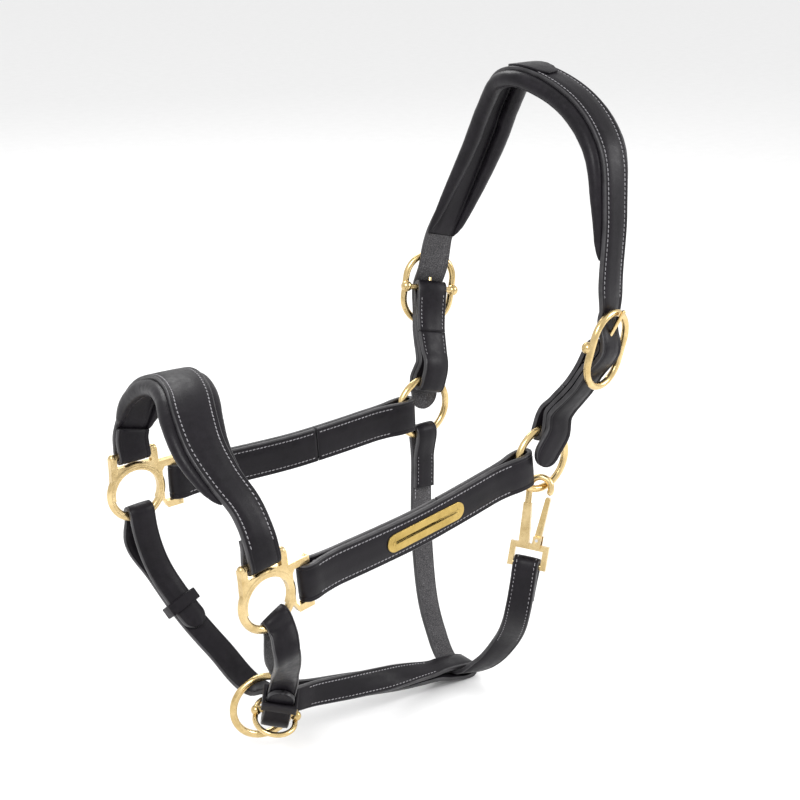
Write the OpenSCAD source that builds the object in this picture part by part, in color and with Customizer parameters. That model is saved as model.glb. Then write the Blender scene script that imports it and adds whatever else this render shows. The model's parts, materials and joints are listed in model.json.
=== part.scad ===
// Leather headcollar: padded crown and noseband, cheek straps, chin and throat straps,
// solid brass rings, buckles, noseband fittings and a snap at the throat.
// Millimetres. X points from the nose to the back of the head, Y to the far side, Z up.
// The origin is the middle of the padding's underside at the poll.

/* [Leather] */
// Thickness of one layer of strap leather
leather_t = 3.5; // [2.9:0.1:4.2]
// Width of the headpiece and upper cheek straps
crown_w = 25; // [20.8:0.1:30]
// Width of the lined cheekpieces
cheek_w = 28; // [23.3:0.1:33.6]
// Width of the chin straps
chin_w = 20; // [16:0.5:22]
// Width of the throat and connecting straps
throat_w = 20; // [16:0.5:22]
// Width of the noseband strap at its ends
nose_end_w = 25; // [22:0.5:27]
// Width of the noseband strap on the nose
nose_mid_w = 31; // [25:1:36]
// Radius of the padded rolls at the poll
crown_roll_r = 6.3; // [4:0.1:7.5]
// Radius of the padded rolls on the nose
nose_roll_r = 6; // [4:0.1:7.5]

/* [Layout] */
// Half the distance between the side rings
ring_half = 72; // [60:1:85]
// Depth of the side rings below the poll
ring_drop = 270; // [225:1:324]
// Half the distance between the crown buckles
buckle_half = 100; // [88:1:112]
// Depth of the crown buckle bars below the poll
buckle_drop = 180; // [165:1:195]
// Distance of the front fittings in front of the poll
nose_reach = 300; // [250:1:360]
// Depth of the lead ring's centre below the poll
lead_drop = 441; // [430:1:450]

/* [Brass] */
// Outside diameter of the side rings and the lead ring
ring_od = 54; // [45:0.5:64.8]
// Diameter of the ring wire
ring_wire = 5.6; // [4.6:0.1:6.8]
// Diameter of the hole in each front fitting
fitting_hole = 35; // [30:0.5:38]
// Diameter of the bars that straps fold round
bar_d = 4.8; // [4:0.1:5.8]
// Length of the nameplate
plate_l = 74; // [50:1:90]
// Height of the nameplate
plate_h = 14; // [10:0.5:18]

/* [Hidden] */

leather = [0.13, 0.12, 0.13];
lining = [0.19, 0.17, 0.18];
brass = [0.80, 0.66, 0.36];
steel = [0.70, 0.70, 0.72];

fit_gap = 0.3;                       // clearance between leather and the metal inside it
layer_gap = 0.2;                     // between two layers of one strap
layer = (leather_t + layer_gap) / 2; // from a doubled strap's middle to each layer's middle
bar_r = bar_d / 2;
eye_r = bar_r + fit_gap + leather_t / 2;             // bend radius of leather round a bar
wire_r = ring_wire / 2;
ring_r = ring_od / 2 - wire_r;                       // middle of the ring wire
ring_eye_r = wire_r + fit_gap + leather_t / 2;       // bend radius of leather round a wire

X = [1, 0, 0];
Y = [0, 1, 0];
Z = [0, 0, 1];

// ---- vectors ----
function unit(v) = v / norm(v);
function mix(a, b, f) = a * (1 - f) + b * f;
function square_to(v, t) = unit(v - (v * t) * t);
function sagitta(r, w) = r - sqrt(r * r - w * w / 4);
function flip(list) = [for (i = [len(list) - 1:-1:0]) list[i]];

// ---- smooth routes: each control point is [place, direction across the strap] ----
function slope(a, b, c) =
    let (p = norm(b - a), q = norm(c - b))
    (b - a) / p - (c - a) / (p + q) + (c - b) / q;
function bend(p0, p1, p2, p3, f) =
    let (d = norm(p2 - p1), m1 = d * slope(p0, p1, p2), m2 = d * slope(p1, p2, p3))
    (2 * f * f * f - 3 * f * f + 1) * p1 + (f * f * f - 2 * f * f + f) * m1
    + (3 * f * f - 2 * f * f * f) * p2 + (f * f * f - f * f) * m2;
function smooth(route, step) =
    let (n = len(route) - 1)
    [for (i = [0:n - 1])
        let (p1 = route[i][0], p2 = route[i + 1][0],
             p0 = i == 0 ? 2 * p1 - p2 : route[i - 1][0],
             p3 = i == n - 1 ? 2 * p2 - p1 : route[i + 2][0],
             k = max(1, round(norm(p2 - p1) / step)))
        for (j = [0:(i == n - 1 ? k : k - 1)])
            [bend(p0, p1, p2, p3, j / k), mix(route[i][1], route[i + 1][1], j / k)]];
function along(samples, i) =
    unit(samples[min(i + 1, len(samples) - 1)][0] - samples[max(i - 1, 0)][0]);
// place, side, normal and share of the length for every sample
function frames(samples) =
    [for (i = [0:len(samples) - 1])
        let (t = along(samples, i), s = square_to(samples[i][1], t))
        [samples[i][0], s, cross(t, s), i / (len(samples) - 1)]];

// leather folded round a bar or wire: centre, direction the fold points, normal, bend radius,
// how far the fold is pulled past the wire and how far before the wire the layers part
function eye(c, d, n, r, stretch, side, early = 0) =
    concat(
        stretch > 0 ? [[c - d * early - n * r, side]] : [],
        [for (a = [-90:30:90]) [c + d * (stretch + r * cos(a)) + n * r * sin(a), side]],
        stretch > 0 ? [[c - d * early + n * r, side]] : []);

// ---- doubled straps: both layers follow one line and part smoothly toward a bar or ring ----
function ease(x) = x >= 1 ? 0 : x <= 0 ? 1 : (1 - x) * (1 - x) * (1 + 2 * x);
function parted(thin, wide, far, hold = 0, reach = 22) =
    thin + (wide - thin) * ease((far - hold) / reach);
// one layer of a doubled strap: rows of its middle line, side k, openings at both ends
function one_layer(rows, k, first, last, ra, rb, hold = 0, thin = layer) =
    let (a = rows[0][0], b = rows[len(rows) - 1][0])
    [for (i = [first:last])
        let (q = rows[i], wide = max(parted(thin, ra, norm(q[0] - a)),
                                     parted(thin, rb, norm(q[0] - b), hold)))
        [q[0] + q[2] * k * wide, q[1]]];
function butt(rows, k, m, f, thin) =
    let (a = rows[m], b = rows[m + 1])
    [mix(a[0] + a[2] * k * thin, b[0] + b[2] * k * thin, f), mix(a[1], b[1], f)];
// from the butt joint at row m, round the fold at the start, along, round the other, and back
function doubled(rows, k, m, fold_a, fold_b, ra, rb, last, hold = 0, thin = layer) =
    concat(
        [butt(rows, -k, m, 0.45, thin)],
        flip(one_layer(rows, -k, 1, m, ra, rb, hold, thin)), fold_a,
        one_layer(rows, k, 1, last, ra, rb, hold, thin), flip(fold_b),
        flip(one_layer(rows, -k, m + 1, last, ra, rb, hold, thin)),
        [butt(rows, -k, m, 0.55, thin)]);
// a turned end lies under the outer layer: rows of that layer, and its distance below it
function turned(rows, first, last, origin, wide) =
    [for (i = [first:last])
        let (q = rows[i])
        [q[0] + q[2] * parted(leather_t + layer_gap, 2 * wide, norm(q[0] - origin)), q[1]]];

// ---- solids ----
module sweep(rings) {
    k = len(rings[0]);
    m = len(rings);
    polyhedron(
        points = [for (r = rings) for (p = r) p],
        faces = concat(
            [[for (j = [0:k - 1]) j]],
            [for (i = [0:m - 2]) for (j = [0:k - 1])
                let (a = i * k + j, b = i * k + (j + 1) % k)
                each [[a, a + k, b], [b, a + k, b + k]]],
            [[for (j = [k - 1:-1:0]) (m - 1) * k + j]]),
        convexity = 8);
}
function box_section(w, t) = [[-w / 2, -t / 2], [w / 2, -t / 2], [w / 2, t / 2], [-w / 2, t / 2]];
function ring_at(f, section) = [for (q = section) f[0] + f[1] * q[0] + f[2] * q[1]];
module strap_along(samples, w, t = leather_t) {
    sweep([for (f = frames(samples)) ring_at(f, box_section(w, t))]);
}
module strap(route, w, t = leather_t, step = 8) {
    strap_along(smooth(route, step), w, t);
}

// stands its children up in a frame: origin o, children's x along x and y along y
module stand(o, x, y) {
    z = cross(x, y);
    multmatrix([[x[0], y[0], z[0], o[0]], [x[1], y[1], z[1], o[1]], [x[2], y[2], z[2], o[2]]])
        children();
}

// ---- layout ----
function ring_c(s) = [-40, s * ring_half, -ring_drop];
function buckle_c(s) = [-10, s * buckle_half, -buckle_drop];
function fitting_c(s) = [-nose_reach, s * 87, s < 0 ? -302 : -282];
lead_c = [-250, 0, -lead_drop];

// front fitting's own directions: rear along the cheekpiece, up, and outward
function fit_x(s) = unit(ring_c(s) - fitting_c(s));
function fit_z(s) = square_to(Z, fit_x(s));
function outward(s) = s * unit(cross(fit_z(s), fit_x(s)));
function fit_at(s, x, z) = fitting_c(s) + fit_x(s) * x + fit_z(s) * z;

rim_r = fitting_hole / 2 + 3;         // middle of the fitting's round rim
rim_wire = 3;                         // radius of that rim
arm_w = 5.2;                          // width of the fitting's posts and prongs
plate_t = 5;
post_x = nose_end_w / 2 + fit_gap + 1 + arm_w / 2;
prong_z = cheek_w / 2 + fit_gap + arm_w / 2;
web_z = fitting_hole / 2 + 4.5;
nose_bar_z = web_z + 2.5 + eye_r + leather_t / 2;
cheek_bar_x = rim_r + 3 + 4 + eye_r + leather_t / 2;

// crown buckle's own directions: across, down, and outward
function buckle_u(s) = square_to([1, s < 0 ? 0.1 : -0.26, 0], chape_e(s));
function buckle_d(s) = square_to(unit([-3, -s * 2.5, -17]), buckle_u(s));
function buckle_n(s) = s * cross(buckle_u(s), buckle_d(s));
function buckle_at(s, d, n) = buckle_c(s) + buckle_d(s) * d + buckle_n(s) * n;

// ---- upper cheek strap: folded round the buckle bar and the side ring ----
chape_a = 72;                        // its direction at the ring, up from the rear
chape_dir = [cos(chape_a), 0, sin(chape_a)];
chape_side = [sin(chape_a), 0, -cos(chape_a)];
function chape_foot(s) = ring_c(s) + chape_dir * ring_r;
function chape_e(s) = unit(chape_foot(s) - buckle_c(s));
// middle line from ring to buckle
function chape_line(s) =
    let (foot = chape_foot(s), bar = buckle_c(s), u = buckle_u(s), reach = norm(bar - foot))
    [[foot, chape_side], [foot + chape_dir * 13, chape_side],
     [mix(foot + chape_dir * reach * 0.3, mix(foot, bar, 0.3), 0.6), mix(chape_side, u, 0.3)],
     [mix(foot, bar, 0.55), mix(chape_side, u, 0.6)],
     [mix(foot, bar, 0.8), mix(chape_side, u, 0.85)], [bar, u]];
function chape_rows(s) = frames(smooth(chape_line(s), 7));
function chape_route(s) =
    let (rows = chape_rows(s), n = len(rows) - 1)
    doubled(rows, s, 5,
        eye(chape_foot(s), -chape_dir, s * rows[0][2], ring_eye_r + 0.1,
            sagitta(ring_r, crown_w) + 0.4, chape_side, 1.5),
        eye(buckle_c(s), -chape_e(s), s * rows[n][2], eye_r, 0, buckle_u(s)),
        ring_eye_r + 0.1, eye_r, n - 1, 0, layer + 0.2);

tongue_r = 1.6;
slot_w = 2 * tongue_r + 2;
module buckle_stand(s) {
    stand(buckle_c(s), buckle_u(s), buckle_d(s)) mirror([0, 0, s < 0 ? 1 : 0]) children();
}
module upper_cheek_strap(s) {
    color(leather) difference() {
        strap_along(chape_route(s), crown_w);
        buckle_stand(s) translate([-slot_w / 2, -9, -8]) cube([slot_w, 16, 18]);
    }
}

// ---- crown buckles ----
frame_r = crown_w / 2 + 8;            // bend of the oval frame
frame_wire = 2.7;
frame_half = 28.5;                   // from the bar to the ends of the oval
frame_lift = 5;                      // of the frame above the bar
frame_tilt = 4;
boss_r = 4.6;

module oval(r, half, wire) {
    for (m = [0, 1]) mirror([0, m, 0]) translate([0, half - r, 0])
        rotate_extrude(angle = 180, $fn = 64) translate([r, 0]) circle(r = wire, $fn = 24);
    for (x = [-r, r]) translate([x, 0, 0]) rotate([90, 0, 0])
        cylinder(r = wire, h = 2 * (half - r), center = true, $fn = 24);
}
module frame_with_bar(r, half, wire, lift, tilt, boss) {
    rotate([0, 90, 0]) cylinder(r = bar_r, h = 2 * r, center = true, $fn = 32);
    for (x = [-r, r]) translate([x, 0, 1.6]) sphere(r = boss, $fn = 32);
    translate([0, 0, lift]) rotate([tilt, 0, 0]) oval(r, half, wire);
}
// tongue: a loop round the bar and a prong that rests on the frame's top
module tongue(half, wire, lift, tilt) {
    loop_r = bar_r + 0.08 + tongue_r;
    rest_z = lift - half * sin(tilt) + 1.12 * (wire + tongue_r) + 0.15;
    reach = half * cos(tilt) + 3;
    root = [0, -loop_r * 0.8, loop_r * 0.6];
    rise = atan((rest_z - root[2]) / (reach - 3 + root[1]));
    rotate([0, 90, 0]) rotate_extrude($fn = 32) translate([loop_r, 0]) circle(r = tongue_r, $fn = 24);
    translate(root) rotate([90 - rise, 0, 0]) {
        cylinder(r = tongue_r - 0.08, h = reach + root[1], $fn = 24);
        translate([0, 0, reach + root[1]]) sphere(r = tongue_r, $fn = 24);
    }
}
module buckle_frame(s) {
    color(brass) buckle_stand(s)
        frame_with_bar(frame_r, frame_half, frame_wire, frame_lift, frame_tilt, boss_r);
}
module buckle_tongue(s) {
    color(brass) buckle_stand(s) tongue(frame_half, frame_wire, frame_lift, frame_tilt);
}

// ---- headpiece: one strap from tail to tail over the poll ----
over_bar = bar_r + fit_gap + leather_t + 2 * fit_gap + leather_t / 2;  // billet above the bar
under_frame = frame_wire + fit_gap + leather_t / 2;                // billet below the frame wire
tail_end = 29;                       // of each billet past the side ring's top
function tail_a(s) = s < 0 ? 54 : 96;
function tail_dir(s) = [cos(tail_a(s)), 0, sin(tail_a(s))];
function tail_side(s) = [sin(tail_a(s)), 0, -cos(tail_a(s))];
function tail(s) =
    let (o = s * Y, rows = chape_rows(s), n = len(rows) - 1,
         clear = layer + leather_t + fit_gap + 0.7,
         proud = ring_eye_r + leather_t + fit_gap + 0.8)
    concat(
        [[chape_foot(s) - tail_dir(s) * tail_end + o * proud, tail_side(s)],
         [chape_foot(s) - tail_dir(s) * tail_end / 2 + o * proud, tail_side(s)],
         [chape_foot(s) + o * proud, chape_side]],
        [for (i = [2:2:n - 2])
            let (q = rows[i], far = norm(q[0] - rows[0][0]), up = norm(q[0] - rows[n][0]))
            [q[0] + q[2] * s * max(parted(clear, proud, far), parted(clear, over_bar, up)), q[1]]],
        [[buckle_at(s, 0, over_bar), buckle_u(s)],
         [buckle_at(s, -20, -1.7), buckle_u(s)],
         [buckle_at(s, -frame_half, frame_lift - 2 - under_frame - 1.2), buckle_u(s)]]);
crown_line = [
    [[-6, -103, -131], [1, 0.1, 0]],
    [[-3, -101, -78], [1, 0.1, 0]],
    [[3, -88, -34], [1, 0.05, 0]],
    [[7, -61, -9], X],
    [[5, -31, 6], X],
    [[1, -3, 12.3], X],
    [[3, 23, 6], X],
    [[7, 44, -18], [1, -0.05, 0]],
    [[9, 61, -49], [1, -0.1, 0]],
    [[7, 77, -82], [1, -0.16, 0]],
    [[2, 89, -112], [1, -0.22, 0]],
    [[-4, 98, -139], [1, -0.25, 0]]];
crown_frames = frames(smooth(concat(tail(-1), crown_line, flip(tail(1))), 7));
hole_pitch = 22;

module headpiece_strap() {
    color(leather) difference() {
        sweep([for (f = crown_frames) ring_at(f, box_section(crown_w, leather_t))]);
        for (s = [-1, 1]) buckle_stand(s)
            translate([-slot_w / 2, -19, -6]) cube([slot_w, 17, 22]);
    }
}

// ---- padding: a lining with a filled roll along each edge ----
// half-width w of the strap above it, radius r of its rolls, thickness under the strap
function pad_section(w, r) =
    let (top = leather_t / 2 + layer_gap + 0.15, c = w + 0.15 * r + 0.5, m = top + 0.866 * r,
         web = top + 2.4)
    concat(
        [[-c + r * 0.5, top]], [[c - r * 0.5, top]],
        [for (a = [75:-45:-150]) [c + r * cos(a), m - r * sin(a)]],
        [[w * 0.45, web], [-w * 0.45, web]],
        [for (a = [-30:-45:-255]) [-c + r * cos(a), m - r * sin(a)]]);
function pad_rings(f, depth, w_mid, w_end, r_mid, low) =
    [for (q = f) if (q[0][2] > low(q[0][1]))
        let (k = min(1, (q[0][2] - low(q[0][1])) / depth), fade = k * (2 - k))
        ring_at(q, pad_section(mix(w_end, w_mid, fade) / 2, r_mid * (0.36 + 0.64 * fade)))];
module crown_padding() {
    color(lining) sweep(pad_rings(crown_frames, 100, crown_w, crown_w - 2, crown_roll_r,
        function (y) y < 0 ? -108 : -130));
}
module poll_patch() {
    top = leather_t / 2 + layer_gap;
    color(leather) sweep([for (f = crown_frames) if (abs(f[0][1] + 4) < 22 && f[0][2] > -5)
        let (h = 1 + 11 * sqrt(max(0, 1 - pow((f[0][1] + 4) / 22, 2))))
        ring_at(f, [[-h, -top - 1.6], [h, -top - 1.6], [h, -top], [-h, -top]])]);
}

// ---- rings ----
module ring_solid(o, turn = 0) {
    color(brass) translate(o) rotate([0, 0, turn]) rotate([90, 0, 0])
        rotate_extrude($fn = 96) translate([ring_r, 0]) circle(r = wire_r, $fn = 32);
}

// ---- cheekpieces: doubled straps from the fitting's bar to the side ring ----
cheek_set = 4;                       // how far round the ring below its front they sit
function cheek_foot(s) =
    let (f = square_to(fit_x(s), Y), low = cross(f, Y))
    ring_c(s) - f * ring_r * cos(cheek_set) - low * ring_r * sin(cheek_set);
cheek_sag = 3.5;                     // they hang this much below a straight line
function cheek_bar(s) = fit_at(s, cheek_bar_x, 0);
function cheek_rows(s) =
    let (a = cheek_bar(s), b = cheek_foot(s), z = square_to(Z, unit(b - a)))
    frames(smooth([for (f = [0, 0.12, 0.3, 0.5, 0.7, 0.88, 1])
        [mix(a, b, f) - z * cheek_sag * (1 - cos(360 * f)) / 2, z]], 12));
function cheek_route(s) =
    let (rows = cheek_rows(s), n = len(rows) - 1, a = rows[0], b = rows[n], k = -s)
    doubled(rows, k, 9,
        eye(a[0], -unit(rows[1][0] - a[0]), k * a[2], eye_r + 0.2, 0, a[1]),
        eye(b[0], unit(b[0] - rows[n - 1][0]), k * b[2], ring_eye_r + 0.15,
            sagitta(ring_r, cheek_w) + cheek_w / 2 * tan(cheek_set) + 1.4, b[1], 3),
        eye_r + 0.2, ring_eye_r, n - 1);
module cheekpiece(s) {
    color(leather) strap_along(cheek_route(s), cheek_w);
}

// ---- nameplate on the near cheekpiece ----
plate_thick = 1.2;
rivet_d = 2.6;
plate_share = 0.52;                  // of the way from the fitting to the ring
module on_plate() {
    x = unit(cheek_foot(-1) - cheek_bar(-1));
    z = square_to(Z, x);
    c = mix(cheek_bar(-1), cheek_foot(-1), plate_share) - z * cheek_sag
        + cross(x, z) * (layer + leather_t / 2);
    stand(c, x, z) children();
}
module stadium(l, h) {
    square([l - h, h], center = true);
    for (x = [-1, 1]) translate([x * (l - h) / 2, 0]) circle(d = h, $fn = 48);
}
module nameplate() {
    color(brass) on_plate() difference() {
        translate([0, 0, 0.05]) linear_extrude(plate_thick) stadium(plate_l, plate_h);
        for (x = [-1, 1]) translate([x * (plate_l / 2 - 6), 0, -1])
            cylinder(d = rivet_d, h = plate_thick + 2, $fn = 32);
    }
}
module nameplate_rivets() {
    color(brass) on_plate() for (x = [-1, 1]) translate([x * (plate_l / 2 - 6), 0, 0]) {
        translate([0, 0, 0.02]) cylinder(d = rivet_d - 0.04, h = plate_thick + 0.02, $fn = 32);
    }
}

// ---- front fittings: a round eye with a bar above for the noseband and one behind ----
module fitting_outline() {
    x1 = post_x + arm_w / 2;
    x0 = post_x - arm_w / 2;
    z0 = cheek_w / 2 + fit_gap;
    z1 = z0 + arm_w;
    back = cheek_bar_x + arm_w / 2;
    shelf = rim_r + 3;
    difference() {
        polygon([[-rim_r, -2], [-x1, web_z], [-x1, nose_bar_z], [-x0, nose_bar_z], [-x0, web_z],
            [x0, web_z], [x0, nose_bar_z], [x1, nose_bar_z], [x1, z1], [back, z1], [back, z0],
            [shelf, z0], [rim_r + 1, z0 - 3], [rim_r + 1, 3 - z0], [shelf, -z0], [back, -z0],
            [back, -z1], [shelf, -z1], [rim_r * cos(28), -rim_r * sin(28)]]);
        circle(d = fitting_hole, $fn = 96);
    }
}
module front_fitting(s) {
    color(brass) stand(fitting_c(s), fit_x(s), fit_z(s)) {
        linear_extrude(plate_t, center = true) fitting_outline();
        difference() {
            rotate_extrude($fn = 96) translate([rim_r, 0]) circle(r = rim_wire, $fn = 32);
            cylinder(d = fitting_hole, h = 12, center = true, $fn = 96);
        }
        translate([0, nose_bar_z, 0]) rotate([0, 90, 0])
            cylinder(r = bar_r, h = 2 * post_x, center = true, $fn = 32);
        translate([cheek_bar_x, 0, 0]) rotate([90, 0, 0])
            cylinder(r = bar_r, h = 2 * prong_z, center = true, $fn = 32);
        for (x = [-post_x, post_x]) translate([x, nose_bar_z, 0])
            sphere(r = arm_w / 2 + 0.4, $fn = 32);
        for (z = [-prong_z, prong_z]) translate([cheek_bar_x, z, 0])
            sphere(r = arm_w / 2 + 0.4, $fn = 32);
    }
}

// ---- noseband: a stitched strap, folded round both noseband bars, over a padded lining ----
nose_line = [
    [[-308, -78, -236], [1, 0.1, 0]],
    [[-315, -62, -217], [1, 0.1, 0]],
    [[-318, -46, -200], X],
    [[-314, -27, -184], X],
    [[-307, -9, -175.5], X],
    [[-301, 12, -172.5], X],
    [[-297, 35, -176], [1, -0.05, 0]],
    [[-296, 58, -187], [1, -0.1, 0]],
    [[-297, 77, -205], [1, -0.1, 0]],
    [[-299, 87, -225], [1, -0.06, 0]]];
function nose_bar(s) = fit_at(s, 0, nose_bar_z);
function nose_foot(s) =
    [[nose_bar(s) + outward(s) * eye_r, fit_x(s)],
     [nose_bar(s) + fit_z(s) * 14 + outward(s) * (layer + 0.5), fit_x(s)]];
nose_frames = frames(smooth(concat(nose_foot(-1), nose_line, flip(nose_foot(1))), 7));
nose_last = len(nose_frames) - 1;
nose_turn = 3;                       // rows of the turned ends
nose_route = concat(
    flip(turned(nose_frames, 1, nose_turn, nose_bar(-1), eye_r)),
    eye(nose_bar(-1), -fit_z(-1), outward(-1), eye_r, 0, fit_x(-1)),
    [for (i = [1:nose_last - 1]) [nose_frames[i][0], nose_frames[i][1]]],
    flip(eye(nose_bar(1), -fit_z(1), outward(1), eye_r, 0, fit_x(1))),
    flip(turned(nose_frames, nose_last - nose_turn, nose_last - 1, nose_bar(1), eye_r)));
function nose_w(z) = mix(nose_end_w, nose_mid_w, min(1, max(0, (z + 245) / 60)));
module noseband_strap() {
    color(leather) sweep([for (f = frames(nose_route))
        ring_at(f, box_section(nose_w(f[0][2]), leather_t))]);
}
nose_pad_low = -226;
module noseband_padding() {
    color(lining) sweep([for (q = nose_frames) if (q[0][2] > nose_pad_low)
        let (k = min(1, (q[0][2] - nose_pad_low) / 45), fade = k * (2 - k))
        ring_at(q, pad_section(nose_w(q[0][2]) / 2 - 0.5, nose_roll_r * (0.4 + 0.6 * fade)))]);
}

// ---- lead ring and chin straps ----
lead_turn = -14;
lead_w = [cos(lead_turn), sin(lead_turn), 0];
chin_bar_c = [-256.5, -27, -431];
chin_u = unit([0.8, -0.56, -0.2]);
// up the near chin strap, toward the strap that comes to the buckle, and their normals
chin_up = square_to(unit([-0.1, -0.47, 0.88]), chin_u);
chin_n = cross(chin_u, chin_up);
chin_f = square_to(unit([0, 0.96, 0.28]), chin_u);
chin_out = cross(chin_f, chin_u);
chin_turn = atan2(-(chin_f * chin_n), chin_out * chin_n);
near_loop_a = -76;
far_loop_a = -88;
chin_eye_r = rim_wire + fit_gap + leather_t / 2;

function rim_side(s, a) = fit_z(s) * cos(a) - fit_x(s) * sin(a);
function rim_out(s, a) = fit_x(s) * cos(a) + fit_z(s) * sin(a);
function rim_eye(s, a) =
    eye(fitting_c(s) + rim_out(s, a) * rim_r, -rim_out(s, a), outward(s), chin_eye_r,
        sagitta(rim_r, chin_w) + 0.5, rim_side(s, a), 1);

// far strap: tail, loop over the far rim, down through the lead ring to the chin buckle
chin_frame_r = chin_w / 2 + 4.8;
chin_frame_half = chin_frame_r + 5;
chin_frame_wire = 2;
chin_frame_lift = 4.6;
chin_under = chin_frame_lift - chin_frame_wire - fit_gap - leather_t / 2 - 0.6;
far_chin_line = [
    [[-300, 92, -322], [1, 0, 0.05]],
    [[-290, 79, -348], [1, 0, 0.1]],
    [[-279, 59, -377], [1, 0, 0.1]],
    [[-266, 36, -403], [1, -0.1, 0]]];
far_chin_rows = frames(smooth(far_chin_line, 8));
function far_chin_row(share) = far_chin_rows[round(share * (len(far_chin_rows) - 1))];
function far_tail(share, gap) =
    let (q = far_chin_row(share)) [q[0] + q[2] * (leather_t + gap), q[1]];
far_chin_route = concat(
    [far_tail(0.75, 0.5), far_tail(0.5, 0.4), far_tail(0.25, 1.5),
     [fitting_c(1) + rim_out(1, far_loop_a) * (rim_r + 16) - Y * 7, X]],
    rim_eye(1, far_loop_a),
    far_chin_line,
    [[lead_c + [-3, 5, 14.5], [1, -0.24, 0]],
     [chin_bar_c + chin_f * chin_frame_half + chin_out * (chin_under - 1), chin_u],
     [chin_bar_c + chin_f * 12.5 + chin_out * chin_under, chin_u],
     each [for (a = [0:chin_turn / 5:chin_turn * 0.99])
        [chin_bar_c + (chin_out * cos(a) - chin_f * sin(a)) * (over_bar + 0.8), chin_u]],
     [chin_bar_c + chin_n * (over_bar + 0.8), chin_u],
     [chin_bar_c + chin_up * 10 + chin_n * (layer + leather_t + 1.6), chin_u],
     [chin_bar_c + chin_up * 24 + chin_n * (layer + leather_t + 0.5), chin_u],
     [chin_bar_c + chin_up * 35 + chin_n * (layer + leather_t + 0.7), chin_u]]);
module chin_stand() {
    stand(chin_bar_c, chin_u, -chin_f) children();
}
module far_chin_strap() {
    color(leather) difference() {
        strap(far_chin_route, chin_w, step = 7);
        chin_stand() translate([-slot_w / 2, -17, -4]) cube([slot_w, 15, 16]);
    }
}
// near strap: both ends meet at the chin buckle's bar, its middle lies over the near rim
near_chin_out = [
    [[-293, -98.5, -339], [1, 0, 0.2]],
    [[-286, -88, -355], [1, -0.15, 0.1]],
    [[-275, -68, -376], [1, -0.35, 0]],
    [chin_bar_c + chin_up * 37 + chin_n * layer, chin_u]];
near_chin_in = [
    [[-290, -79, -345], [1, 0, 0.2]],
    [[-277, -66, -366], [1, -0.2, 0.1]],
    [chin_bar_c + chin_up * 38 - chin_n * (layer + 1), chin_u]];
module near_chin_strap() {
    color(leather) difference() {
        strap(concat(
            [[chin_bar_c + chin_up * 20 - chin_n * layer, chin_u]],
            flip(near_chin_in),
            rim_eye(-1, near_loop_a),
            near_chin_out,
            [[chin_bar_c + chin_up * 24 + chin_n * layer, chin_u],
             [chin_bar_c + chin_up * 11 + chin_n * layer, chin_u]],
            flip(eye(chin_bar_c, -chin_up, chin_n, eye_r, 0, chin_u)),
            [[chin_bar_c + chin_up * 11 - chin_n * layer, chin_u],
             [chin_bar_c + chin_up * 18 - chin_n * layer, chin_u]]), chin_w, step = 7);
        chin_stand() translate([-slot_w / 2, -8, -9]) cube([slot_w, 17, 18]);
    }
}
module chin_buckle_frame() {
    color(brass) chin_stand()
        frame_with_bar(chin_frame_r, chin_frame_half, chin_frame_wire, chin_frame_lift, 0, 3.9);
}
module chin_buckle_tongue() {
    color(brass) chin_stand() tongue(chin_frame_half, chin_frame_wire, chin_frame_lift, 0);
}

// ---- keepers: leather loops round the straps they hold ----
keeper_w = 9;
keeper_t = 2.4;
module keeper(w, thick) {
    linear_extrude(keeper_w, center = true) difference() {
        square([w + 2 * keeper_t, thick + 2 * keeper_t], center = true);
        square([w, thick], center = true);
    }
}
module far_chin_keeper() {
    q = far_chin_row(0.58);
    color(leather) stand(q[0] + q[2] * (leather_t + 0.4) / 2, q[1], q[2])
        keeper(chin_w + 1.4, 2 * leather_t + 1.8);
}
module near_chin_keeper() {
    color(leather) stand(chin_bar_c + chin_up * 19 + chin_n * (leather_t + fit_gap) / 2,
            chin_u, cross(chin_up, chin_u))
        keeper(chin_w + 1, 3 * leather_t + 2.6);
}

// ---- throat strap, and the connecting strap between it and the lead ring ----
throat_low = [-62, -2, -473];
lead_back_a = 84;
lead_back = lead_w * sin(lead_back_a) + Z * cos(lead_back_a);
link_front = lead_c + lead_back * ring_r;
link_side = Z * sin(lead_back_a) - lead_w * cos(lead_back_a);
link_e = unit(throat_low - link_front);
snap_a = unit([0.29, 0.1, 0.95]);
snap_h = square_to(unit([0.57, -0.82, 0]), snap_a);
snap_n = cross(snap_h, snap_a);
snap_len = 60;                       // from the eye's bar to the middle of the hook
snap_o = ring_c(-1) - Z * ring_r - snap_a * snap_len;

throat_top = ring_c(1) - Z * ring_r + X * 0.5;
throat_line = [
    [throat_top + Y * ring_eye_r, X],
    [throat_top - Z * 20 + Y * (layer + 0.6), X],
    [throat_top - Z * 46 + Y * layer + [-2, -2, 0], X],
    [[-54, 54, -387], X],
    [[-61, 30, -446], link_e],
    [throat_low + [0, 10, 1], link_e],
    [throat_low - [0, 10, -1], link_e],
    [[-58, -30, -459], [0.9, -0.4, -0.2]],
    [[-57, -54, -430], [0.75, -0.6, -0.15]],
    [snap_o - snap_a * 28 + snap_n * layer, snap_h],
    [snap_o - snap_a * 13 + snap_n * (layer + 1), snap_h],
    [snap_o + snap_n * eye_r, snap_h]];
throat_rows = frames(smooth(throat_line, 9));
throat_last = len(throat_rows) - 1;
throat_route = concat(
    flip(turned(throat_rows, 1, 5, throat_top, ring_eye_r)),
    eye(throat_top, Z, Y, ring_eye_r, sagitta(ring_r, throat_w) + 0.6, X, 1.5),
    [for (i = [1:throat_last - 1]) [throat_rows[i][0], throat_rows[i][1]]],
    flip(eye(snap_o, snap_a, snap_n, eye_r, 0, snap_h)),
    flip(turned(throat_rows, throat_last - 3, throat_last - 1, snap_o, eye_r)));
module throat_strap() {
    color(leather) strap_along(throat_route, throat_w);
}

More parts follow.
